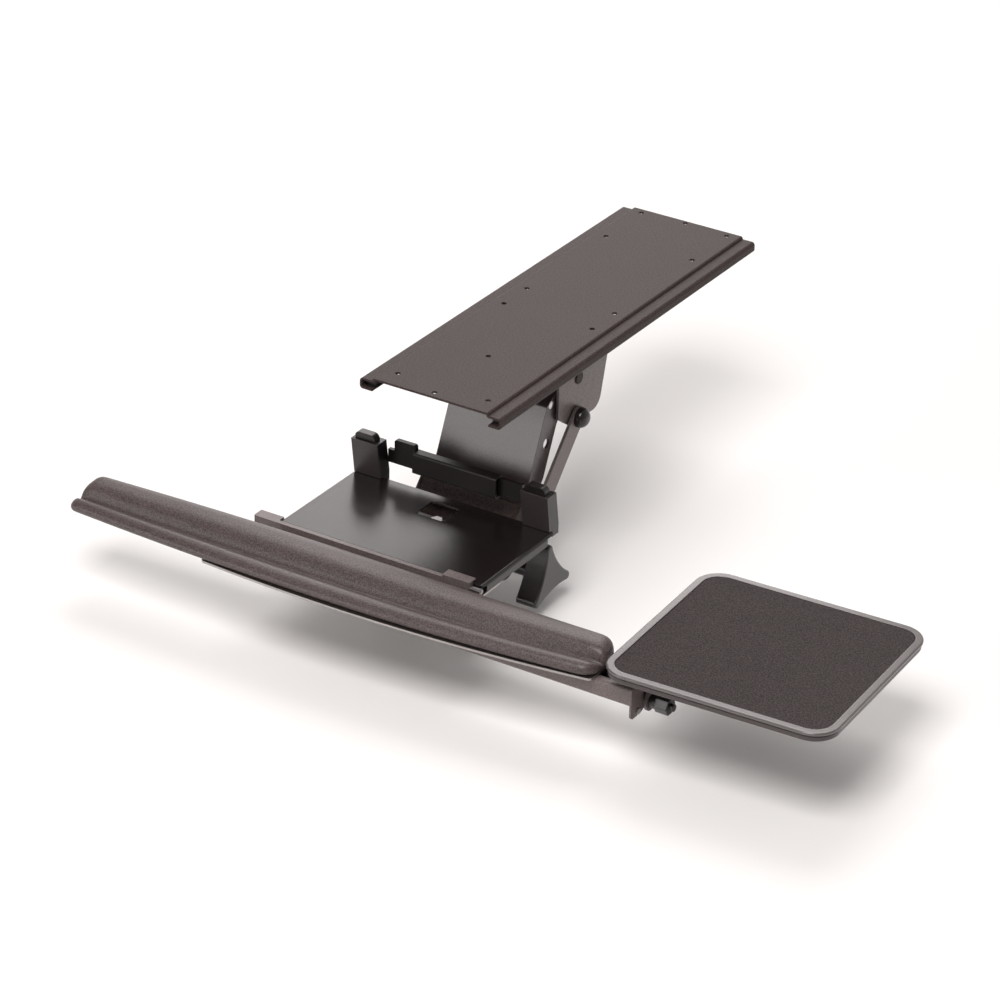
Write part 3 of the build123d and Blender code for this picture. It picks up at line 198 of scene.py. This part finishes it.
def ring_piece(name, grid, material, body):
    """Closed rings, a row of the grid each, joined by quads and capped at both ends.

    Quad (i, j) joins points j and j + 1 of ring i to the same points of ring i + 1.
    """
    rings, count = grid.shape[:2]
    ring, point = np.meshgrid(np.arange(rings - 1) * count, np.arange(count), indexing="ij")
    ahead = (point + 1) % count
    quads = np.stack([ring + point, ring + ahead, ring + count + ahead, ring + count + point], -1)
    first, last = np.arange(count)[::-1], np.arange(count) + (rings - 1) * count
    mesh = bpy.data.meshes.new(name)
    mesh.from_pydata(
        grid.reshape(-1, 3).tolist(), [], [first.tolist(), last.tolist(), *quads.reshape(-1, 4).tolist()]
    )
    mesh.validate()
    mesh.shade_smooth()
    mesh.materials.append(material)
    piece = bpy.data.objects.new(name, mesh)
    bpy.context.scene.collection.objects.link(piece)
    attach(piece, body)
    return piece


for side_name, sign in (("right_shoulder_rivet", 1), ("left_shoulder_rivet", -1)):
    rivet = ring_piece(side_name, rivet_head(sign), bright_steel, "arm")

# Tilt head: two coated steel cheeks with webs between them, at the lower end of the arm.
# Bright pins and the long tilt bolt pass through it, with nylon spacers and friction discs.
dress(coat_steel, "tilt_head", "lower_pivot_rod")
dress(bright_steel, "lower_link_pins", "tilt_bolt")
dress(nylon, "lower_link_spacers", "lower_arm_washers", "friction_discs")
dress(dome_black, "lower_dome_caps")

# Tilt knob: a three-lobed knob moulded in black plastic, with a light satin shine.
# It sits on the end of the tilt bolt and clamps the platform's ears.
knob_black = finish_for(
    "knob_black", dark=(0.012, 0.010, 0.010), light=(0.019, 0.016, 0.016),
    rough=0.28, scale=1500.0, strength=0.05, edge=0.0014, gloss=0.7,
)
dress(knob_black, "tilt_knob")

# Keyboard platform: a flat steel sheet with turned-down sides and a fine satin black coat.
# Two ears join it to the tilt bolt, tied by a flat strap whose zinc-plated bolt shows
# through the window. The bolt's near-white colour is partly its pale zinc and partly a
# painted glint: the finish is mostly matt, so the bolt reads bright under any lamp.
platform_coat = finish_for(
    "platform_coat", dark=(0.007, 0.005, 0.005), light=(0.014, 0.010, 0.010),
    rough=0.22, scale=1500.0, strength=0.10, edge=0.0006,
)
# Painted glint on the strap bolt: near-white and mostly matt, so it is bright however the light falls.
zinc_painted_glint = finish_for(
    "zinc_painted_glint", dark=(0.60, 0.58, 0.57), light=(0.80, 0.79, 0.78),
    rough=0.50, scale=600.0, strength=0.05, edge=0.0003, metal=0.2,
)
dress(platform_coat, "platform_plate", "right_ear", "left_ear")
dress(nylon, "cross_strap")
dress(zinc_painted_glint, "strap_bolt")

# Front rail: a coated steel angle along the platform's front edge, flush with its top.
# A small folded clip goes over its right end, and a turned steel pin stands out of it.
dull_steel = finish_for(
    "dull_steel", dark=(0.20, 0.19, 0.19), light=(0.30, 0.29, 0.28),
    rough=0.32, scale=600.0, strength=0.05, edge=0.0003, metal=1.0,
)
dress(frame_coat, "front_rail", "front_clip")
dress(dull_steel, "clip_pin")

# Palm rest plate: a thin bowed plate of plated steel, screwed to spacers by a tongue that
# runs under the platform. It carries the cushion's board and the bar's nylon guides.
plated_steel = finish_for(
    "plated_steel", dark=(0.30, 0.28, 0.27), light=(0.44, 0.42, 0.41),
    rough=0.38, scale=500.0, strength=0.05, edge=0.0003, metal=1.0,
)
dress(plated_steel, "palm_base_plate")
dress(coat_steel, "plate_standoffs")
dress(dark_plastic, "pad_board")
dress(bright_steel, "plate_screws", "guide_screws")
dress(nylon, "bar_guides")

# Palm rest cushion: foam on a board, wrapped in fine-grained black leatherette.
# Its section runs over a front roll, a groove and a broad crown, then down the back, and
# the cover is pulled in at both ends. The left end reaches a little further and is bent.
PAD_LONGER_LEFT, PAD_BEND = 0.0040, 0.0100
PAD_DEPTH_MIDDLE, PAD_DEPTH_ENDS = 0.0650, 0.0460
PAD_BACK, PAD_PULL, PAD_PULL_SHARES = -0.32552, 0.0160, (0.30, 0.62)
PAD_END_SHARES, PAD_END_LOW, PAD_END_POWER, PAD_PULL_POWER = (0.045, 0.07), 0.42, 2.4, 4
PAD_WAVE, PAD_WAVE_TURNS, PAD_WAVE_START = 0.00012, 46.0, 1.3
PAD_STEPS, PAD_ROUND = 420, 96

# Shares of the depth and of the crown's height, from the underside's front edge round.
PAD_SECTION_SHARES = np.array([
    (0.02, 0.0), (0.0, 0.15), (0.010, 0.30), (0.05, 0.42), (0.11, 0.50), (0.18, 0.52),
    (0.25, 0.45), (0.31, 0.32), (0.355, 0.26), (0.40, 0.34), (0.44, 0.56), (0.50, 0.79),
    (0.60, 0.93), (0.74, 0.99), (0.84, 1.0), (0.92, 0.94), (0.97, 0.78), (1.0, 0.50),
    (1.0, 0.25), (0.985, 0.0),
])
pad_box = np.array(nodes["palm_rest_pad"].bound_box)
(pad_left, _, pad_base), (pad_right, _, pad_top) = pad_box.min(axis=0), pad_box.max(axis=0)
pad_left -= PAD_LONGER_LEFT


def smooth_through(points, count):
    """Catmull-Rom curve: p(t) = 1/2 (2b + (c-a)t + (2a-5b+4c-d)t^2 + (3b-a-3c+d)t^3)."""
    padded = np.vstack([2 * points[0] - points[1], points, 2 * points[-1] - points[-2]])
    place = np.linspace(0, len(points) - 1, count)
    index = np.minimum(place.astype(int), len(points) - 2)
    t = (place - index)[:, None]
    a, b, c, d = (padded[index + k] for k in range(4))
    return 0.5 * (2 * b + (c - a) * t + (2 * a - 5 * b + 4 * c - d) * t**2
                  + (3 * b - a - 3 * c + d) * t**3)


def palm_surface():
    """Section swept along x, with s from -1 at the left end to 1 at the right end.

    Depth changes with s^2. Over each end's share of s, t grows from 0 to 1: the height falls
    as low + (1 - low) sqrt(1 - t^2.4), and the front and back draw in by a share of t^4.
    """
    section = smooth_through(PAD_SECTION_SHARES, PAD_ROUND)[::-1]
    s = np.sin(np.linspace(-math.pi / 2, math.pi / 2, PAD_STEPS))
    end_share = np.where(s < 0, *PAD_END_SHARES)
    t = np.clip((np.abs(s) - 1 + end_share) / end_share, 0, 1)
    height = PAD_END_LOW + (1 - PAD_END_LOW) * np.sqrt(1 - t**PAD_END_POWER)
    pull = np.where(s < 0, *PAD_PULL_SHARES) * t**PAD_PULL_POWER * PAD_PULL
    bend = PAD_BEND * np.minimum(s, 0) ** 2
    x = (pad_left + pad_right) / 2 + s * (pad_right - pad_left) / 2
    depth = PAD_DEPTH_MIDDLE + (PAD_DEPTH_ENDS - PAD_DEPTH_MIDDLE) * s**2
    front = PAD_BACK - depth + pull - bend
    back = PAD_BACK - pull - bend
    across, up = section[:, 0][None, :], section[:, 1][None, :]
    y = front[:, None] + (back - front)[:, None] * across
    z = pad_base + (pad_top - pad_base) * height[:, None] * up
    ripple = PAD_WAVE * np.sin(x * PAD_WAVE_TURNS + PAD_WAVE_START) * (1 - t)
    z = z + ripple[:, None] * np.sin(np.pi * across)
    return np.stack([np.repeat(x[:, None], PAD_ROUND, axis=1), y, z], axis=-1)


leatherette = finish_for(
    "leatherette", dark=(0.018, 0.012, 0.012), light=(0.108, 0.080, 0.078),
    rough=0.42, scale=800.0, strength=0.35, edge=0.0, speck=0.8, sheen=0.03,
)
palm_pad = ring_piece("palm_cushion", palm_surface(), leatherette, "platform")
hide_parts("palm_rest_pad")

# Back stop: two moulded towers with smooth face plates, clipped over the rear edge.
# Their flat arms are black like the C-shaped cover strip, and reach into it.
tower_face = finish_for(
    "tower_face", dark=(0.028, 0.023, 0.022), light=(0.042, 0.035, 0.034),
    rough=0.36, scale=1600.0, strength=0.06, edge=0.0006,
)
strip_black = finish_for(
    "strip_black", dark=(0.008, 0.006, 0.006), light=(0.012, 0.009, 0.009),
    rough=0.42, scale=1500.0, strength=0.08, edge=0.0005, gloss=0.3,
)
dress(dark_plastic, "left_tower", "right_tower")
dress(tower_face, "left_tower_pad", "right_tower_pad")
dress(strip_black, "stop_strip", "left_stop_arm", "right_stop_arm")

# Raised length of the left arm: the same sheet, cut higher beside the strip.
# It is a flat plate with rounded upper corners, and slides with the left tower.
HUMP_LEFT, HUMP_RIGHT, HUMP_LOW, HUMP_HIGH = -0.0685, -0.0462, -0.1055, -0.0843
HUMP_FRONT, HUMP_BACK, HUMP_CORNER, HUMP_STEPS = -0.1751, -0.1704, 0.0022, 7


def hump_plate():
    """Outline in x and z, once in front and once behind.

    With u from 0 to a quarter turn, the left corner is (1 - cos(u), sin(u) - 1) and the
    right corner is (sin(u) - 1, cos(u) - 1), each times the corner's radius.
    """
    u = np.linspace(0, math.pi / 2, HUMP_STEPS)
    round_off, round_on = HUMP_CORNER * (1 - np.cos(u)), HUMP_CORNER * (1 - np.sin(u))
    x = np.concatenate([[HUMP_RIGHT, HUMP_LEFT], HUMP_LEFT + round_off, HUMP_RIGHT - round_on])
    z = np.concatenate([[HUMP_LOW, HUMP_LOW], HUMP_HIGH - round_on, HUMP_HIGH - round_off])
    return np.stack([np.stack([x, np.full(len(x), y), z], -1) for y in (HUMP_FRONT, HUMP_BACK)])


hump = ring_piece("left_arm_hump", hump_plate(), strip_black, "left_stop")
hump.data.shade_flat()

# Mouse bar: a coated steel channel that slides out to the right along its guides.
# The ear at its end holds a bright stop screw and the stud of the turning bracket, and a
# dark moulded knob tightens the stud.
dress(frame_coat, "mouse_bar", "mouse_bracket")
dress(dark_plastic, "swivel_post")
dress(bright_steel, "ear_stop_screw", "mouse_tilt_bolt", "mouse_spacer")
dress(knob_black, "mouse_knob")

# Mouse tray: a moulded pan with a glossy grey rim pressed on it, on the bracket's post.
# A thin foam-backed cloth pad lies in the rim's pocket.
pan_grey = finish_for(
    "pan_grey", dark=(0.040, 0.030, 0.029), light=(0.060, 0.047, 0.046),
    rough=0.30, scale=1200.0, strength=0.06, edge=0.0010,
)
rim_grey = finish_for(
    "rim_grey", dark=(0.066, 0.055, 0.054), light=(0.098, 0.084, 0.082),
    rough=0.20, scale=1200.0, strength=0.05, edge=0.0014, gloss=1.0,
)
pad_cloth = finish_for(
    "pad_cloth", dark=(0.005, 0.003, 0.003), light=(0.056, 0.041, 0.040),
    rough=0.80, scale=750.0, strength=0.60, edge=0.0, speck=0.85, sheen=0.04, gloss=0.3,
)
dress(pan_grey, "mouse_tray_base")
dress(rim_grey, "mouse_tray_rim")
dress(pad_cloth, "mouse_pad")

# Floor: one pale, matt and plain sheet, close below the hanging tray.
# It is white wherever no shadow falls, and stays out of the part.
FLOOR_Z, FLOOR_HALF = -0.206, 9.0
FLOOR_COLOUR, FLOOR_ROUGH, FLOOR_GLOSS = (0.90, 0.895, 0.885, 1.0), 0.9, 0.1
floor_mesh = bpy.data.meshes.new("floor")
floor_mesh.from_pydata(
    [(x * FLOOR_HALF, y * FLOOR_HALF, FLOOR_Z) for x, y in ((-1, -1), (1, -1), (1, 1), (-1, 1))],
    [],
    [(0, 1, 2, 3)],
)
floor_paint = bpy.data.materials.new("floor_paint")
floor_paint.use_nodes = True
floor_shader = floor_paint.node_tree.nodes["Principled BSDF"]
floor_shader.inputs["Base Color"].default_value = FLOOR_COLOUR
floor_shader.inputs["Roughness"].default_value = FLOOR_ROUGH
floor_shader.inputs["Specular IOR Level"].default_value = FLOOR_GLOSS
floor_mesh.materials.append(floor_paint)
floor = bpy.data.objects.new("floor", floor_mesh)
bpy.context.scene.collection.objects.link(floor)

# Studio surround: warm white, dim on the user's side and dimmer towards the top.
# The camera sees plain white behind the floor, so the backdrop stays clean.
SURROUND_COLOUR = (1.0, 0.955, 0.945, 1.0)
DEPTH_RAMP, HEIGHT_RAMP = (-0.8, 0.6, 0.16, 0.78), (0.25, 0.60, 1.0, 0.55)
world = bpy.data.worlds.new("studio")
bpy.context.scene.world = world
world.use_nodes = True
air = world.node_tree.nodes
wire = world.node_tree.links.new
heading = air.new("ShaderNodeTexCoord")
parts = air.new("ShaderNodeSeparateXYZ")
wire(heading.outputs["Generated"], parts.inputs["Vector"])
product = air.new("ShaderNodeMath")
product.operation = "MULTIPLY"
for number, (axis, ramp_values) in enumerate((("Y", DEPTH_RAMP), ("Z", HEIGHT_RAMP))):
    ramp = air.new("ShaderNodeMapRange")
    for socket, value in zip(("From Min", "From Max", "To Min", "To Max"), ramp_values):
        ramp.inputs[socket].default_value = value
    wire(parts.outputs[axis], ramp.inputs["Value"])
    wire(ramp.outputs["Result"], product.inputs[number])
surround = air["Background"]
surround.inputs["Color"].default_value = SURROUND_COLOUR
wire(product.outputs["Value"], surround.inputs["Strength"])
backdrop = air.new("ShaderNodeBackground")
backdrop.inputs["Strength"].default_value = 1.0
paths = air.new("ShaderNodeLightPath")
choose = air.new("ShaderNodeMixShader")
wire(paths.outputs["Is Camera Ray"], choose.inputs["Fac"])
wire(surround.outputs["Background"], choose.inputs[1])
wire(backdrop.outputs["Background"], choose.inputs[2])
wire(choose.outputs["Shader"], air["World Output"].inputs["Surface"])

# Studio lamps: four square soft boxes in warm white.
# The key stands high in front, two stand behind for the tops and the platform's sheen, and
# a low one in front lights the arm.
LAMP_COLOUR = (1.0, 0.965, 0.955)


def place_facing(thing, spot, back, roll=0.0):
    """Turns an object's -Z axis against the unit vector back, then rolls it about that axis."""
    level = np.cross((0.0, 0.0, 1.0), back)
    level /= np.linalg.norm(level)
    rise = np.cross(back, level)
    turn = np.eye(4)
    turn[:3, 0] = level * math.cos(roll) + rise * math.sin(roll)
    turn[:3, 1] = rise * math.cos(roll) - level * math.sin(roll)
    turn[:3, 2] = back
    turn[:3, 3] = spot
    thing.matrix_world = Matrix(turn.tolist())


for name, spot, aim, size, watts in (
    ("key", (0.45, -1.60, 2.20), (0.0, -0.15, -0.1), 1.3, 56.0),
    ("back", (-0.72, 1.45, 2.30), (0.0, -0.15, -0.1), 1.6, 38.0),
    ("rear", (-1.36, 2.15, 0.93), (-0.1, -0.25, -0.12), 1.2, 11.5),
    ("front", (-1.40, -2.70, 0.66), (0.0, -0.15, -0.08), 1.4, 24.0),
):
    lamp = bpy.data.lights.new(name, "AREA")
    lamp.shape = "SQUARE"
    lamp.size = size
    lamp.energy = watts
    lamp.color = LAMP_COLOUR
    holder = bpy.data.objects.new(name, lamp)
    bpy.context.scene.collection.objects.link(holder)
    away = np.subtract(spot, aim)
    place_facing(holder, spot, away / np.linalg.norm(away))

# Camera: a long lens from the front right, above the tray, fitted to the track's corners.
# It is rolled slightly, as the photograph is.
AZIMUTH, ELEVATION, ROLL = (math.radians(angle) for angle in (31.303, 27.945, 1.601))
CAMERA_SPOT, LENS_MM, SENSOR_MM, FAR_CLIP = (1.7060, -2.9092, 1.5861), 147.46, 36.0, 60.0
lens = bpy.data.cameras.new("camera")
lens.lens = LENS_MM
lens.sensor_width = SENSOR_MM
lens.clip_end = FAR_CLIP
camera = bpy.data.objects.new("camera", lens)
bpy.context.scene.collection.objects.link(camera)
behind = np.array([
    math.sin(AZIMUTH) * math.cos(ELEVATION),
    -math.cos(AZIMUTH) * math.cos(ELEVATION),
    math.sin(ELEVATION),
])
place_facing(camera, CAMERA_SPOT, behind, ROLL)
bpy.context.scene.camera = camera
bpy.context.scene.view_settings.view_transform = "Standard"
